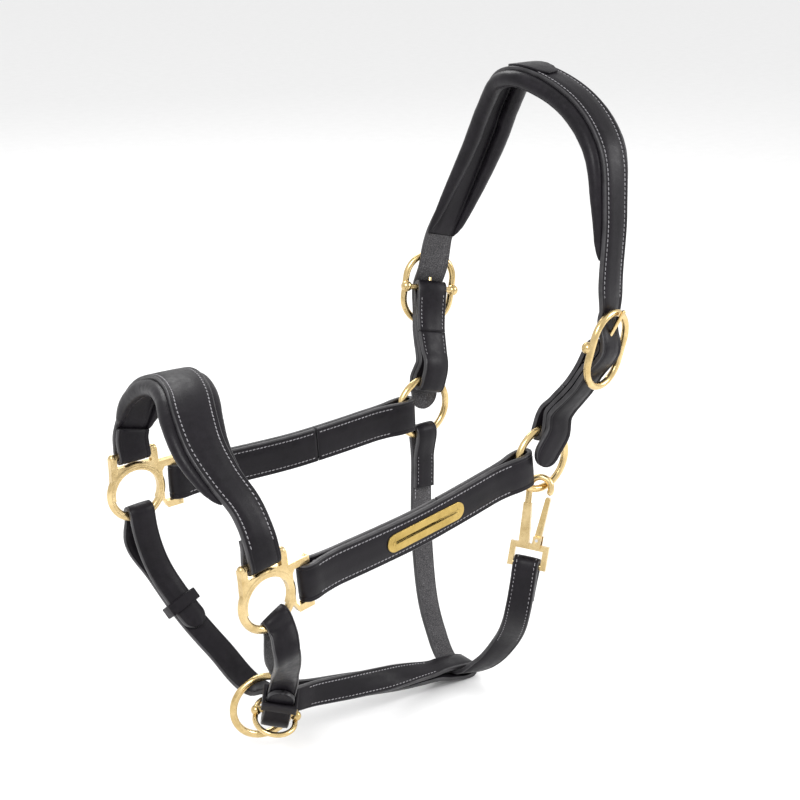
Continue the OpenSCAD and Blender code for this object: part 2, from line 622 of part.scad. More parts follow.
link_loop = leather_t + 1.3;        // from the throat strap's middle to the loop's middle
link_line = [
    [link_front, link_side],
    [mix(link_front, throat_low, 0.3), [0, 0.35, 1]],
    [mix(link_front, throat_low, 0.52), [0, 0.7, 0.9]],
    [mix(link_front, throat_low, 0.7), [0, 1, 0.4]],
    [mix(link_front, throat_low, 0.86), Y],
    [throat_low, Y]];
link_rows = frames(smooth(link_line, 9));
link_last = len(link_rows) - 1;
link_route = doubled(link_rows, 1, 7,
    eye(link_front, -lead_back, cross(lead_back, link_side), ring_eye_r + 0.3,
        sagitta(ring_r, throat_w) + 0.3, link_side, 1),
    eye(throat_low, link_e, link_rows[link_last][2], link_loop, throat_w / 2 - 0.8, Y, 9),
    ring_eye_r + 0.3, link_loop, link_last - 2, 10, layer + 0.78);
module connecting_strap() {
    color(leather) strap_along(link_route, throat_w);
}

// ---- snap: square eye, spine and hook cast in one, a sprung gate on a pin ----
snap_hook_r = 8.3;                   // middle of the hook's bend
snap_rod = 2.5;
eye_half = throat_w / 2 + 0.8;
gate_at = [5, 20];
gate_tip = [7.6, snap_len - 6.2];
gate_thick = 5.2;
pin_d = 2.4;
module snap_stand() {
    stand(snap_o, snap_h, snap_a) children();
}
module rod(a, b, r) {
    v = b - a;
    translate(a) rotate([0, 0, atan2(v[1], v[0])]) rotate([0, 90, 0])
        cylinder(r = r, h = norm(v), $fn = 24);
}
module snap_body() {
    color(brass) snap_stand() {
        rotate([0, 90, 0]) cylinder(r = bar_r, h = 2 * eye_half + 4, center = true, $fn = 32);
        for (x = [-1, 1]) translate([x * (eye_half + 2.1), 7, 0])
            cube([4.2, 18.8, 4.8], center = true);
        translate([0, 14.2, 0]) cube([2 * eye_half + 8, 4.4, 4.8], center = true);
        rod([-5, 14, 0], [-snap_hook_r, snap_len, 0], snap_rod);
        linear_extrude(5.6, center = true)
            polygon([[-8.8, 13], [-0.6, 13], [-4.4, 47], [-10.4, 47]]);
        translate([0, snap_len, 0]) rotate([0, 0, -15]) rotate_extrude(angle = 195, $fn = 64)
            translate([snap_hook_r, 0]) circle(r = snap_rod, $fn = 24);
        translate([snap_hook_r * cos(15), snap_len - snap_hook_r * sin(15), 0])
            sphere(r = snap_rod, $fn = 24);
        difference() {
            translate([gate_at[0] - 3, 14, -gate_thick / 2 - 2.6])
                cube([6.4, 9, gate_thick + 5.2]);
            translate([gate_at[0] - 5, 16.6, -gate_thick / 2 - 1]) cube([10, 12, gate_thick + 2]);
            translate([gate_at[0], gate_at[1], -9]) cylinder(d = pin_d, h = 18, $fn = 32);
        }
    }
}
module snap_gate() {
    color(brass) snap_stand() difference() {
        linear_extrude(gate_thick, center = true) {
            translate(gate_at) circle(d = 5.4, $fn = 32);
            polygon([gate_at + [-2.6, 1], gate_at + [2.7, 0], gate_tip + [1.9, -1.6],
                gate_tip + [1.2, 0], gate_tip + [-1.4, 0], gate_tip + [-1.9, -1.5]]);
        }
        translate([gate_at[0], gate_at[1], -9]) cylinder(d = pin_d + 0.1, h = 18, $fn = 32);
    }
}
module gate_pin() {
    color(steel) snap_stand() translate([gate_at[0], gate_at[1], 0])
        cylinder(d = pin_d, h = gate_thick + 5.2, center = true, $fn = 32);
}
module gate_spring() {
    color(steel) snap_stand() translate([gate_at[0], gate_at[1], 0])
        for (z = [-1, 1]) translate([0, 0, z * (gate_thick / 2 + 0.5)]) rotate_extrude($fn = 32)
            translate([pin_d / 2 + 0.45, 0]) circle(r = 0.35, $fn = 24);
}

headpiece_strap();
crown_padding();
poll_patch();
buckle_frame(-1);  // near_buckle_frame
buckle_frame(1);  // far_buckle_frame
buckle_tongue(-1);  // near_buckle_tongue
buckle_tongue(1);  // far_buckle_tongue
upper_cheek_strap(-1);  // near_upper_cheek_strap
upper_cheek_strap(1);  // far_upper_cheek_strap
ring_solid(ring_c(-1));  // near_ring
ring_solid(ring_c(1));  // far_ring
cheekpiece(-1);  // near_cheekpiece
cheekpiece(1);  // far_cheekpiece
nameplate();
nameplate_rivets();
front_fitting(-1);  // near_front_fitting
front_fitting(1);  // far_front_fitting
noseband_strap();
noseband_padding();
far_chin_strap();
far_chin_keeper();
near_chin_strap();
chin_buckle_frame();
chin_buckle_tongue();
near_chin_keeper();
ring_solid(lead_c, lead_turn);  // lead_ring
connecting_strap();
throat_strap();
snap_body();
snap_gate();
gate_pin();
gate_spring();
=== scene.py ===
import json
import math

import bmesh
import bpy
import numpy as np
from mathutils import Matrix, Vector, noise

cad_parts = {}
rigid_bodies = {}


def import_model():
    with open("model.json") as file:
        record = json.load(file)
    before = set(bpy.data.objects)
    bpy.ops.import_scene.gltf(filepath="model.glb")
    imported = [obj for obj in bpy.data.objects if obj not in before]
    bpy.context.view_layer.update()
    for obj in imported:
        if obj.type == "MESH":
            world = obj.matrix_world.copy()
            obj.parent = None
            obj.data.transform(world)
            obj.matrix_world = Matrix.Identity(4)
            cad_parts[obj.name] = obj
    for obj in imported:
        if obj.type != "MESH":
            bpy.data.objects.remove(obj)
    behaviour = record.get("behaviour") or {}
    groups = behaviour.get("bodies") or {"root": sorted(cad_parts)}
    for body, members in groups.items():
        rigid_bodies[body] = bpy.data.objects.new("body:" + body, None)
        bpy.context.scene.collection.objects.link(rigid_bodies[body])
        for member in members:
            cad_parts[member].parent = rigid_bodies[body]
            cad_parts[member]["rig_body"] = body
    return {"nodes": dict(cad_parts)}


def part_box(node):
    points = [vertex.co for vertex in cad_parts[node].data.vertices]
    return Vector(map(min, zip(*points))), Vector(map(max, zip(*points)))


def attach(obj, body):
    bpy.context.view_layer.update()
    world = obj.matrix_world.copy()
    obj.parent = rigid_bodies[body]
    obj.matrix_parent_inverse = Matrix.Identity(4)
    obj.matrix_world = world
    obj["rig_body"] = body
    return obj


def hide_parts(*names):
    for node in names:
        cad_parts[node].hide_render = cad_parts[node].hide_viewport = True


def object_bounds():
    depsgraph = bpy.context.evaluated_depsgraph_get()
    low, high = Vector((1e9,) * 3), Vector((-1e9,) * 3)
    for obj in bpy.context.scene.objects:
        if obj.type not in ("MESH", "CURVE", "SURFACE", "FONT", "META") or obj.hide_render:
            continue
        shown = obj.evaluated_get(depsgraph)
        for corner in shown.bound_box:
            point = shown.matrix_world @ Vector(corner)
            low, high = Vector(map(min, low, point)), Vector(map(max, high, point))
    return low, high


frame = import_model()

CAD_LOW, CAD_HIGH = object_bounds()
MM = 0.001                   # metres in a millimetre
WELD_GAP = 3e-6              # vertices closer than this are one
CORNER_MATCH = 2e-5          # how closely opposite sides of a strap's end agree
THICK_MATCH = 1.5e-5         # how closely an edge across the thickness agrees with it
SHARP_ANGLE = math.radians(60)
STRAP_STEP = 2.5 * MM        # between the rows of a visible strap
PADDING_STEP = 2.0 * MM      # between the rows of a padding
TIP_STEP = 0.7 * MM          # between the rows of a rounded end
ROW_BEND = 9                 # degrees, the most a strap turns between two rows
BODY = {n: o["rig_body"] for n, o in frame["nodes"].items()}


# ---------------------------------------------------------------- small helpers
def unit(v):
    """The vector at length one."""
    v = np.asarray(v, float)
    return v / max(np.linalg.norm(v), 1e-12)


def centre_of(node):
    """The middle of the CAD piece's box."""
    low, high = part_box(node)
    return np.array((low + high) / 2)


def new_object(name, verts, faces, materials, face_material=None):
    """A smooth-shaded mesh object; face_material picks a material for each face."""
    mesh = bpy.data.meshes.new(name)
    mesh.from_pydata([tuple(v) for v in verts], [], [tuple(f) for f in faces])
    for m in materials:
        mesh.materials.append(m)
    if face_material is not None:
        mesh.polygons.foreach_set("material_index", np.asarray(face_material, np.int32))
    mesh.polygons.foreach_set("use_smooth", np.full(len(faces), True))
    obj = bpy.data.objects.new(name, mesh)
    bpy.context.scene.collection.objects.link(obj)
    return obj


def outward_faces(obj):
    """Turns all the faces of a closed mesh outward."""
    bm = bmesh.new()
    bm.from_mesh(obj.data)
    bmesh.ops.recalc_face_normals(bm, faces=bm.faces)
    bm.to_mesh(obj.data)
    bm.free()


# ---------------------------------------------------------------- straps read from the frame
class Rows:
    """Cross-sections of a strap: centre, unit side, unit normal, tangent, width, thickness."""

    def __init__(self, c, s, n, w, t):
        self.c, self.s, self.n, self.w, self.t = c, s, n, w, t
        d = np.gradient(c, axis=0)
        self.d = d / np.maximum(np.linalg.norm(d, axis=1), 1e-9)[:, None]
        step = np.linalg.norm(np.diff(c, axis=0), axis=1)
        self.at = np.concatenate([[0], np.cumsum(step)])

    def __len__(self):
        return len(self.c)

    def part(self, keep):
        return Rows(self.c[keep], self.s[keep], self.n[keep], self.w[keep], self.t[keep])


def sharp_outline(node):
    """The CAD piece's vertices, its sharp edges as neighbours, and the longest run of them."""
    bm = bmesh.new()
    bm.from_mesh(frame["nodes"][node].data)
    bmesh.ops.remove_doubles(bm, verts=bm.verts, dist=WELD_GAP)
    near = {}
    for e in bm.edges:
        if len(e.link_faces) == 2 and e.calc_face_angle(0) > SHARP_ANGLE:
            a, b = e.verts[0].index, e.verts[1].index
            near.setdefault(a, []).append(b)
            near.setdefault(b, []).append(a)
    co = np.array([v.co for v in bm.verts])
    bm.free()
    seen, best = set(), []
    for v in near:
        if v in seen:
            continue
        todo, part = [v], []
        seen.add(v)
        while todo:
            x = todo.pop()
            part.append(x)
            for y in near[x]:
                if y not in seen:
                    seen.add(y)
                    todo.append(y)
        if len(part) > len(best):
            best = part
    return co, near, best


def end_caps(co, near, outline):
    """The four-cornered ends of a strap: every corner has one more edge, along the strap."""
    caps = []
    for v in (v for v in outline if len(near[v]) == 3):
        for a in near[v]:
            for b in near[v]:
                for d in set(near[a]) & set(near[b]) - {v}:
                    cap = [v, a, d, b]
                    side = [np.linalg.norm(co[cap[k]] - co[cap[k - 3]]) for k in range(4)]
                    if a != b and side[0] > side[1] and abs(side[0] - side[2]) < CORNER_MATCH \
                            and abs(side[1] - side[3]) < CORNER_MATCH \
                            and all(len(near[k]) == 3 for k in cap):
                        caps.append(cap)
    return caps


def paired(lead, line):
    """For each point of lead, the point of line across from it; both run the same way."""
    gap = ((lead[:, None] - line[None]) ** 2).sum(2)
    cost, come = np.full(gap.shape, np.inf), np.zeros(gap.shape, int)
    cost[0, 0] = gap[0, 0]
    for i in range(1, len(lead)):
        for j in range(len(line)):
            back = min(range(max(0, j - 2), j + 1), key=lambda b: cost[i - 1, b])
            cost[i, j], come[i, j] = cost[i - 1, back] + gap[i, j], back
    out = [len(line) - 1]
    for i in range(len(lead) - 1, 0, -1):
        out.append(come[i, out[-1]])
    return out[::-1]


def read_strap(node, start):
    """The strap's sections, from the end nearest to start. Each corner of that end is followed
    along the strap; a step shorter than the width and unlike the thickness runs along it."""
    co, near, outline = sharp_outline(node)
    caps = end_caps(co, near, outline)
    cap = min(caps, key=lambda c: np.linalg.norm(co[c].mean(axis=0) - start))
    ends = {v for c in caps for v in c}
    wide = np.linalg.norm(co[cap[0]] - co[cap[1]])
    thick = np.linalg.norm(co[cap[1]] - co[cap[2]])

    def gap(p, q):
        return np.linalg.norm(co[p] - co[q])

    chains = []
    for v in cap:
        line = [v, next(y for y in near[v] if y not in cap)]
        while line[-1] not in ends:
            now, ahead = line[-1], unit(co[line[-1]] - co[line[-2]])
            step = [y for y in near[now] if y not in line and gap(y, now) < wide * 0.95
                    and abs(gap(y, now) - thick) > THICK_MATCH]
            step = [y for y in step if gap(y, now) < wide * 0.85] or step
            if not step:
                # an edge too blunt to be listed: the nearest corner ahead
                step = [y for y in outline if y not in line and gap(y, now) < wide * 0.5
                        and abs(gap(y, now) - thick) > THICK_MATCH
                        and unit(co[y] - co[now]) @ ahead > 0.3]
                step = sorted(step, key=lambda y: gap(y, now))[:1]
            if not step:
                break
            line.append(max(step, key=lambda y: unit(co[y] - co[now]) @ ahead))
        chains.append(co[line])
    most = max(len(x) for x in chains)
    lead = next(x for x in chains if len(x) == most)
    for k, line in enumerate(chains):
        if len(line) != most:
            chains[k] = line[paired(lead, line)]
    a, b, c, d = chains
    side, normal = (b - a + c - d) / 2, (d - a + c - b) / 2
    w, t = np.linalg.norm(side, axis=1), np.linalg.norm(normal, axis=1)
    return Rows((a + b + c + d) / 4, side / w[:, None], normal / t[:, None], w, t)


def face_away(rows, point, index):
    """Turns the normals so that at that row they point away from the point."""
    if (rows.c[index] - point) @ rows.n[index] < 0:
        return Rows(rows.c, rows.s, -rows.n, rows.w, rows.t)
    return rows


def finer(rows, step=STRAP_STEP, tip=0.0):
    """The same strap with smooth rows between the CAD ones, closer where it folds."""
    n = len(rows)
    c = rows.c
    centre, pick = [], []
    for i in range(n - 1):
        p1, p2 = c[i], c[i + 1]
        p0 = c[i - 1] if i else 2 * p1 - p2
        p3 = c[i + 2] if i + 2 < n else 2 * p2 - p1
        a, d, b = (np.linalg.norm(x) for x in (p1 - p0, p2 - p1, p3 - p2))
        m1 = d * ((p1 - p0) / a - (p2 - p0) / (a + d) + (p2 - p1) / d)
        m2 = d * ((p2 - p1) / d - (p3 - p1) / (d + b) + (p3 - p2) / b)
        bend = math.degrees(math.acos(np.clip(unit(m1) @ unit(m2), -1, 1)))
        spacing = step
        if tip and min(rows.at[i], rows.at[-1] - rows.at[i + 1]) < tip:
            spacing = TIP_STEP
        k = max(1, math.ceil(d / spacing), math.ceil(bend / ROW_BEND))
        for j in range(k if i < n - 2 else k + 1):
            f = j / k
            centre.append((2 * f**3 - 3 * f**2 + 1) * p1 + (f**3 - 2 * f**2 + f) * m1
                          + (3 * f**2 - 2 * f**3) * p2 + (f**3 - f**2) * m2)
            pick.append(i + f)
    pick, centre, index = np.array(pick), np.array(centre), np.arange(n)

    def mid(x):
        return np.stack([np.interp(pick, index, x[:, k]) for k in range(x.shape[1])], 1)

    s, w, t = mid(rows.s), np.interp(pick, index, rows.w), np.interp(pick, index, rows.t)
    nn = mid(rows.n)
    out = Rows(centre, s, nn, w, t)
    s = s - (s * out.d).sum(1)[:, None] * out.d
    s /= np.linalg.norm(s, axis=1)[:, None]
    n2 = np.cross(out.d, s)
    sign = np.sign((n2 * nn).sum(1))
    out.s, out.n = s, n2 * sign[:, None]
    return out


# ---------------------------------------------------------------- leather straps
EDGE_RADIUS = 0.9 * MM
CORNER_ANGLES = (8, 30, 52, 75)      # degrees, the points of a rounded edge


def profile(w, t, marks, dome):
    """Closed section as (x, y, kind); kind 0 is the top, 1 an edge, 2 the underside.
    marks are grooves: (distance from the edge, depth, half width)."""
    corner = min(EDGE_RADIUS, t * 0.3)

    def face():
        xs = []
        for at, deep, half in marks:
            xs += [(at - half, 0.0), (at - half * 0.4, deep * 0.8), (at, deep),
                   (at + half * 0.4, deep * 0.8), (at + half, 0.0)]
        xs = [q for q in xs if q[0] < w / 2 - 1.5 * MM]
        left = [(-w / 2 + a, -d) for a, d in sorted(xs)]
        return left + [(-w * 0.12, 0.0), (w * 0.12, 0.0)] + [(-x, d) for x, d in left[::-1]]

    def corners(sx, sy):
        out = []
        for a in CORNER_ANGLES:
            r = math.radians(a)
            out.append((sx * (w / 2 - corner + corner * math.cos(r)),
                        sy * (t / 2 - corner + corner * math.sin(r)), 1))
        return out

    top = [(x, t / 2 + d + dome * (1 - (2 * x / w) ** 2), 0) for x, d in face()]
    low = [(x, -t / 2 - d * 0.7, 2) for x, d in face()]
    return (corners(-1, 1) + [(-w / 2 + corner, t / 2, 0)] + top + [(w / 2 - corner, t / 2, 0)]
            + corners(1, 1)[::-1] + corners(1, -1) + [(w / 2 - corner, -t / 2, 2)] + low[::-1]
            + [(-w / 2 + corner, -t / 2, 2)] + corners(-1, -1)[::-1])


WIDE_INSET = 3.6 * MM                # of the stitching on the wide straps
NARROW_INSET = 2.9 * MM              # of the stitching on the narrow straps
WIDE_SINK = -0.22 * MM               # the stitching lies this deep in the face
NARROW_SINK = -0.15 * MM
# pressed lines: distance from the edge, depth, half width
CREASE = (1.7 * MM, 0.28 * MM, 0.55 * MM)
SEAM = (WIDE_INSET, 0.40 * MM, 0.85 * MM)


def strap_piece(name, node, rows, materials, marks=(CREASE,), dome=0.25 * MM, tips=(0, 0), wave=0.12):
    """A strap with rounded edges, pressed lines, and a slightly uneven run; tips are the lengths
    of its rounded ends. materials are top, edge and underside."""
    kinds = [q[2] for q in profile(rows.w.min(), 3 * MM, marks, dome)]
    count, verts = len(kinds), []
    total = rows.at[-1]
    seed = sum(ord(ch) for ch in name) * 0.37
    for i in range(len(rows)):
        w, t, a, b = rows.w[i], rows.t[i], rows.at[i], total - rows.at[i]
        for far, tip in ((a, tips[0]), (b, tips[1])):
            if tip and far < tip:
                w *= max(0.16, math.sqrt(max(0.0, 1 - ((tip - far) / tip) ** 2.2)))
        uneven = 1 + wave * 0.1 * noise.noise(Vector((rows.at[i] * 35, seed, 0.5)))
        for x, y, kind in profile(rows.w[i], t, marks, dome):
            verts.append((i, x * w / rows.w[i], y * uneven))
    at = np.array([v[0] for v in verts])
    x, y = np.array([v[1] for v in verts]), np.array([v[2] for v in verts])
    co = rows.c[at] + rows.s[at] * x[:, None] + rows.n[at] * y[:, None]
    faces, mats = [], []
    for i in range(len(rows) - 1):
        for j in range(count):
            k = (j + 1) % count
            faces.append((i * count + j, i * count + k, (i + 1) * count + k, (i + 1) * count + j))
            mats.append(kinds[j] if kinds[j] == kinds[k] else 1)
    faces += [tuple(range(count)), tuple(range(len(rows) * count - count, len(rows) * count))]
    mats += [1, 1]
    obj = new_object(name, co, faces, materials, mats)
    outward_faces(obj)
    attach(obj, BODY[node])
    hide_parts(node)
    return obj


# ---------------------------------------------------------------- stitching
def stitch_shape():
    """One stitch of unit half length and radius: rings along x, closed at both ends."""
    ring, verts, faces = 7, [], []
    for x, r in ((-1, 0.25), (-0.86, 0.72), (-0.4, 1.0), (0.4, 1.0), (0.86, 0.72), (1, 0.25)):
        for k in range(ring):
            a = 2 * math.pi * k / ring
            verts.append((x, r * math.cos(a), r * math.sin(a)))
    for i in range(5):
        for k in range(ring):
            m = (k + 1) % ring
            faces.append((i * ring + k, i * ring + m, (i + 1) * ring + m, (i + 1) * ring + k))
    faces += [tuple(range(ring))[::-1], tuple(range(5 * ring, 6 * ring))]
    return np.array(verts), faces


STITCH_VERTS, STITCH_FACES = stitch_shape()
BOTH_FACES = (1, -1)


class Stitches:
    """The separate stitches of one strap, gathered into one object."""

    def __init__(self, name, parent, material):
        self.name, self.parent, self.material = name, parent, material
        self.verts, self.faces = [], []

    def one(self, place, along, normal, length, thick, slant):
        """One stitch on a face, turned by slant from the strap's run."""
        across = np.cross(normal, along)
        a = along * math.cos(slant) + across * math.sin(slant)
        b = np.cross(normal, a)
        v = STITCH_VERTS
        co = (place + v[:, :1] * a * length / 2 + v[:, 1:2] * b * thick / 2
              + v[:, 2:3] * normal * thick * 0.42)
        base = len(self.verts) * len(v)
        self.verts.append(co)
        self.faces += [tuple(base + k for k in f) for f in STITCH_FACES]

    def line(self, rows, inset, above, pitch=3.3 * MM, length=2.5 * MM, thick=0.85 * MM,
             start=None, stop=None, sign=1, where=None):
        """A row of stitches inset from the strap's edge (negative: the other edge)."""
        start = start if start is not None else 2 * MM
        stop = stop if stop is not None else rows.at[-1] - 2 * MM
        n = int((stop - start) / pitch)
        for k in range(n):
            s = start + (k + 0.5) * (stop - start) / n
            i = int(np.clip(np.searchsorted(rows.at, s) - 1, 0, len(rows) - 2))
            f = (s - rows.at[i]) / max(rows.at[i + 1] - rows.at[i], 1e-9)

            def mid(x):
                return x[i] * (1 - f) + x[i + 1] * f

            side, nor, d = unit(mid(rows.s)), unit(mid(rows.n)) * sign, unit(mid(rows.d))
            x = (mid(rows.w) / 2 - abs(inset)) * (1 if inset > 0 else -1)
            place = mid(rows.c) + side * x + nor * (mid(rows.t) / 2 + above)
            if where is not None and not where(place):
                continue
            uneven = 0.05 * noise.noise(Vector((s * 900, inset * 5000, sign)))
            self.one(place, d, nor, length, thick, 0.10 + uneven)

    def build(self):
        """The object, riding on its strap; none if no stitch was placed."""
        if not self.verts:
            return None
        obj = new_object(self.name, np.concatenate(self.verts), self.faces, [self.material])
        obj.parent = self.parent
        return obj


def seam(name, parent, rows, inset, above, faces=(1,), **limits):
    """Stitching along both edges of a strap; faces are 1 for its top, -1 for its underside."""
    stitches = Stitches(name, parent, THREAD)
    for edge in (inset, -inset):
        for face in faces:
            stitches.line(rows, edge, above, sign=face, **limits)
    stitches.build()


# ---------------------------------------------------------------- materials
def material(name):
    """A new material, its node tree and its shader."""
    m = bpy.data.materials.new(name)
    m.use_nodes = True
    nt = m.node_tree
    return m, nt, nt.nodes["Principled BSDF"]


def node(nt, kind, **values):
    """A new node; values are its inputs by name, or its properties."""
    n = nt.nodes.new(kind)
    for k, v in values.items():
        if k in n.inputs:
            n.inputs[k].default_value = v
        else:
            setattr(n, k, v)
    return n


def object_space(nt, scale=(1, 1, 1)):
    """Object coordinates, so that the pattern moves with the piece."""
    c = node(nt, "ShaderNodeTexCoord")
    m = node(nt, "ShaderNodeMapping")
    m.inputs["Scale"].default_value = scale
    nt.links.new(c.outputs["Object"], m.inputs["Vector"])
    return m.outputs["Vector"]


def noise_tex(nt, where, scale, detail, rough):
    t = node(nt, "ShaderNodeTexNoise", Scale=scale, Detail=detail, Roughness=rough)
    nt.links.new(where, t.inputs["Vector"])
    return t.outputs["Fac"]


def ramp(nt, value, stops):
    """A colour ramp over the value; stops are (position, colour)."""
    r = node(nt, "ShaderNodeValToRGB")
    e = r.color_ramp.elements
    while len(e) < len(stops):
        e.new(0.5)
    for k, (at, colour) in enumerate(stops):
        e[k].position = at
        e[k].color = (*colour, 1)
    nt.links.new(value, r.inputs["Fac"])
    return r.outputs["Color"]


def grey(v):
    return (v, v, v)


def bump(nt, bsdf, layers):
    """layers: (height output, strength, distance), the first one innermost."""
    last = None
    for value, strength, distance in layers:
        b = node(nt, "ShaderNodeBump", Strength=strength, Distance=distance)
        nt.links.new(value, b.inputs["Height"])
        if last is not None:
            nt.links.new(last, b.inputs["Normal"])
        last = b.outputs["Normal"]
    nt.links.new(last, bsdf.inputs["Normal"])


def leather(name, dark, light, rough=(0.36, 0.52), grain=1500.0, grain_depth=0.35):
    """Grained leather: two soft tones, roughness between the pair, and a fine cell grain."""
    m, nt, bsdf = material(name)
    where = object_space(nt)
    wide = noise_tex(nt, where, 26.0, 4.0, 0.6)
    blotch = noise_tex(nt, where, 210.0, 3.0, 0.6)
    cells = node(nt, "ShaderNodeTexVoronoi", Scale=grain, Randomness=1.0, feature="SMOOTH_F1")
    cells.inputs["Smoothness"].default_value = 0.35
    nt.links.new(where, cells.inputs["Vector"])
    pores = noise_tex(nt, where, 3800.0, 2.0, 0.6)
    mix = node(nt, "ShaderNodeMix", data_type="RGBA", blend_type="MIX")
    nt.links.new(ramp(nt, wide, [(0.32, dark), (0.72, light)]), mix.inputs[6])
    nt.links.new(ramp(nt, blotch, [(0.35, dark), (0.75, light)]), mix.inputs[7])
    mix.inputs[0].default_value = 0.4
    fine = node(nt, "ShaderNodeMix", data_type="RGBA", blend_type="MULTIPLY")
    fine.inputs[0].default_value = 0.5
    nt.links.new(mix.outputs[2], fine.inputs[6])
    nt.links.new(ramp(nt, cells.outputs["Distance"], [(0.0, grey(1.25)), (0.6, grey(0.75))]),
                 fine.inputs[7])
    nt.links.new(fine.outputs[2], bsdf.inputs["Base Color"])
    nt.links.new(ramp(nt, blotch, [(0.3, grey(rough[0])), (0.75, grey(rough[1]))]),
                 bsdf.inputs["Roughness"])
    bsdf.inputs["Specular IOR Level"].default_value = 0.17
    bump(nt, bsdf, [(wide, 0.25, 0.0012), (blotch, 0.18, 0.0004),
                    (cells.outputs["Distance"], grain_depth, 0.00012), (pores, 0.15, 0.00005)])
    return m


def flesh_side(name):
    """The fibrous underside of a single strap."""
    m, nt, bsdf = material(name)
    where = object_space(nt)
    specks = noise_tex(nt, where, 1300.0, 4.0, 0.75)
    wide = noise_tex(nt, where, 60.0, 3.0, 0.6)
    mix = node(nt, "ShaderNodeMix", data_type="RGBA", blend_type="MULTIPLY")
    mix.inputs[0].default_value = 0.6
    nt.links.new(ramp(nt, specks, [(0.38, (0.022, 0.021, 0.023)), (0.52, (0.055, 0.053, 0.056)),
                                   (0.72, (0.17, 0.165, 0.17))]), mix.inputs[6])
    nt.links.new(ramp(nt, wide, [(0.3, grey(0.7)), (0.7, grey(1.2))]), mix.inputs[7])
    nt.links.new(mix.outputs[2], bsdf.inputs["Base Color"])
    bsdf.inputs["Roughness"].default_value = 0.88
    bsdf.inputs["Specular IOR Level"].default_value = 0.2
    bsdf.inputs["Sheen Weight"].default_value = 0.15
    bump(nt, bsdf, [(wide, 0.2, 0.0006), (specks, 0.6, 0.00025)])
    return m


def edge_painted_reflection(name):
    """The sealed cut edge of a strap, with fibres in its gloss; its colour, lighter than the faces, is
    a painted reflection of light on the rounded edges.
    """
    m, nt, bsdf = material(name)
    where = object_space(nt)
    fibres = noise_tex(nt, object_space(nt, (1, 1, 2.2)), 900.0, 3.0, 0.6)
    wide = noise_tex(nt, where, 90.0, 2.0, 0.5)
    # painted reflection: the edge colour is set lighter than the black faces to stand in for light
    # caught on the rounded edges
    nt.links.new(ramp(nt, wide, [(0.35, (0.014, 0.013, 0.015)), (0.75, (0.04, 0.038, 0.042))]),
                 bsdf.inputs["Base Color"])
    nt.links.new(ramp(nt, fibres, [(0.3, grey(0.30)), (0.7, grey(0.55))]), bsdf.inputs["Roughness"])
    bump(nt, bsdf, [(wide, 0.2, 0.0005), (fibres, 0.4, 0.00015)])
    return m


def thread(name, dark, light):
    """Grey sewing thread."""
    m, nt, bsdf = material(name)
    where = object_space(nt)
    ply = noise_tex(nt, where, 2600.0, 2.0, 0.5)
    tone = noise_tex(nt, where, 330.0, 2.0, 0.5)
    nt.links.new(ramp(nt, tone, [(0.3, dark), (0.7, light)]), bsdf.inputs["Base Color"])
    nt.links.new(ramp(nt, ply, [(0.3, grey(0.55)), (0.7, grey(0.8))]), bsdf.inputs["Roughness"])
    bump(nt, bsdf, [(ply, 0.5, 0.0002)])
    return m


def metal(name, dark, light, rough=(0.16, 0.34), scratch=0.12, cast=0.0):
    """Worn metal: two tones, a haze in the gloss, fine scratches; cast adds a coarser surface."""
    m, nt, bsdf = material(name)
    where = object_space(nt)
    tone = noise_tex(nt, where, 70.0, 4.0, 0.65)
    haze = noise_tex(nt, where, 320.0, 5.0, 0.7)
    lines = noise_tex(nt, object_space(nt, (1.0, 1.0, 14.0)), 420.0, 2.0, 0.6)
    nt.links.new(ramp(nt, tone, [(0.28, dark), (0.62, light)]), bsdf.inputs["Base Color"])
    nt.links.new(ramp(nt, haze, [(0.3, grey(rough[0])), (0.75, grey(rough[1]))]),
                 bsdf.inputs["Roughness"])
    bsdf.inputs["Metallic"].default_value = 1.0
    layers = [(tone, 0.10 + cast, 0.0006), (haze, 0.06 + cast * 0.5, 0.0002), (lines, scratch, 0.00003)]
    bump(nt, bsdf, layers)
    return m


BLACK = leather("leather_black", (0.0050, 0.0043, 0.0058), (0.0125, 0.0105, 0.0140))
SOFT = leather("leather_padding", (0.0060, 0.0052, 0.0068), (0.0160, 0.0135, 0.0178), (0.32, 0.48),
               900.0, 0.45)
FLESH = flesh_side("leather_flesh_side")
# the edge material carries a painted reflection: its colour is lighter than the faces
EDGE = edge_painted_reflection("leather_edge")
THREAD = thread("thread_grey", (0.16, 0.155, 0.165), (0.34, 0.33, 0.35))
BRASS = metal("brass", (0.50, 0.36, 0.15), (0.74, 0.56, 0.28))
BRASS_CAST = metal("brass_cast", (0.50, 0.36, 0.16), (0.74, 0.57, 0.30), (0.22, 0.38), 0.08, 0.04)
BRASS_PLATE = metal("brass_plate", (0.36, 0.25, 0.07), (0.52, 0.37, 0.12), (0.24, 0.36), 0.2)
STEEL = metal("steel", (0.48, 0.48, 0.49), (0.68, 0.68, 0.69), (0.25, 0.4))

GRAIN = [BLACK, EDGE, BLACK]         # both faces smooth, as on a doubled and stitched strap
SINGLE = [BLACK, EDGE, FLESH]        # flesh side beneath


# ---------------------------------------------------------------- the camera
AZIMUTH = math.radians(-38)
ELEVATION = math.radians(20)
DISTANCE = 1.2
FOCAL_LENGTH = 71.6


